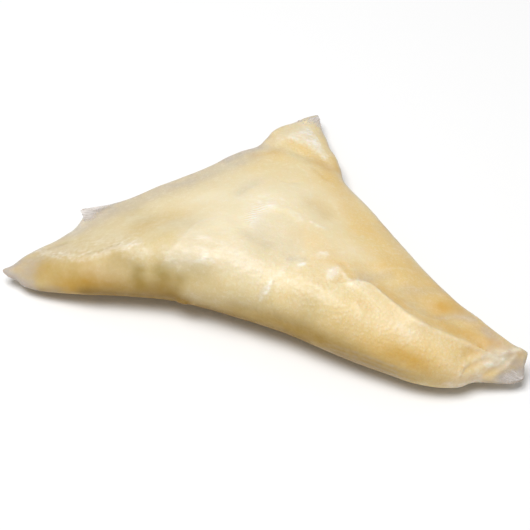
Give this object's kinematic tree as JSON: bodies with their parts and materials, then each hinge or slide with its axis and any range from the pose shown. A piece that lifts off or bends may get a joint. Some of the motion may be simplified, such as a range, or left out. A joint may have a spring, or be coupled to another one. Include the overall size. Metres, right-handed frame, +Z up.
{
  "type": "spanakopita triangle",
  "caption": "Soft phyllo packet, folded flag-wise into a long low triangle round a spinach filling, with thin flat corners.",
  "frame": {"origin": "centre of the bounding box, at the height of the surface that the packet rests on", "axes": "+X along the long closed fold, from the pointed tail to the rolled mouth; +Y from that fold to the apex; +Z up"},
  "size_m": [0.1402, 0.087, 0.0235],
  "materials": {
    "phyllo": "satin, with a thin coat of butter"
  },
  "bodies": {
    "root": {"phyllo_packet": "phyllo"}
  },
  "joints": []
}
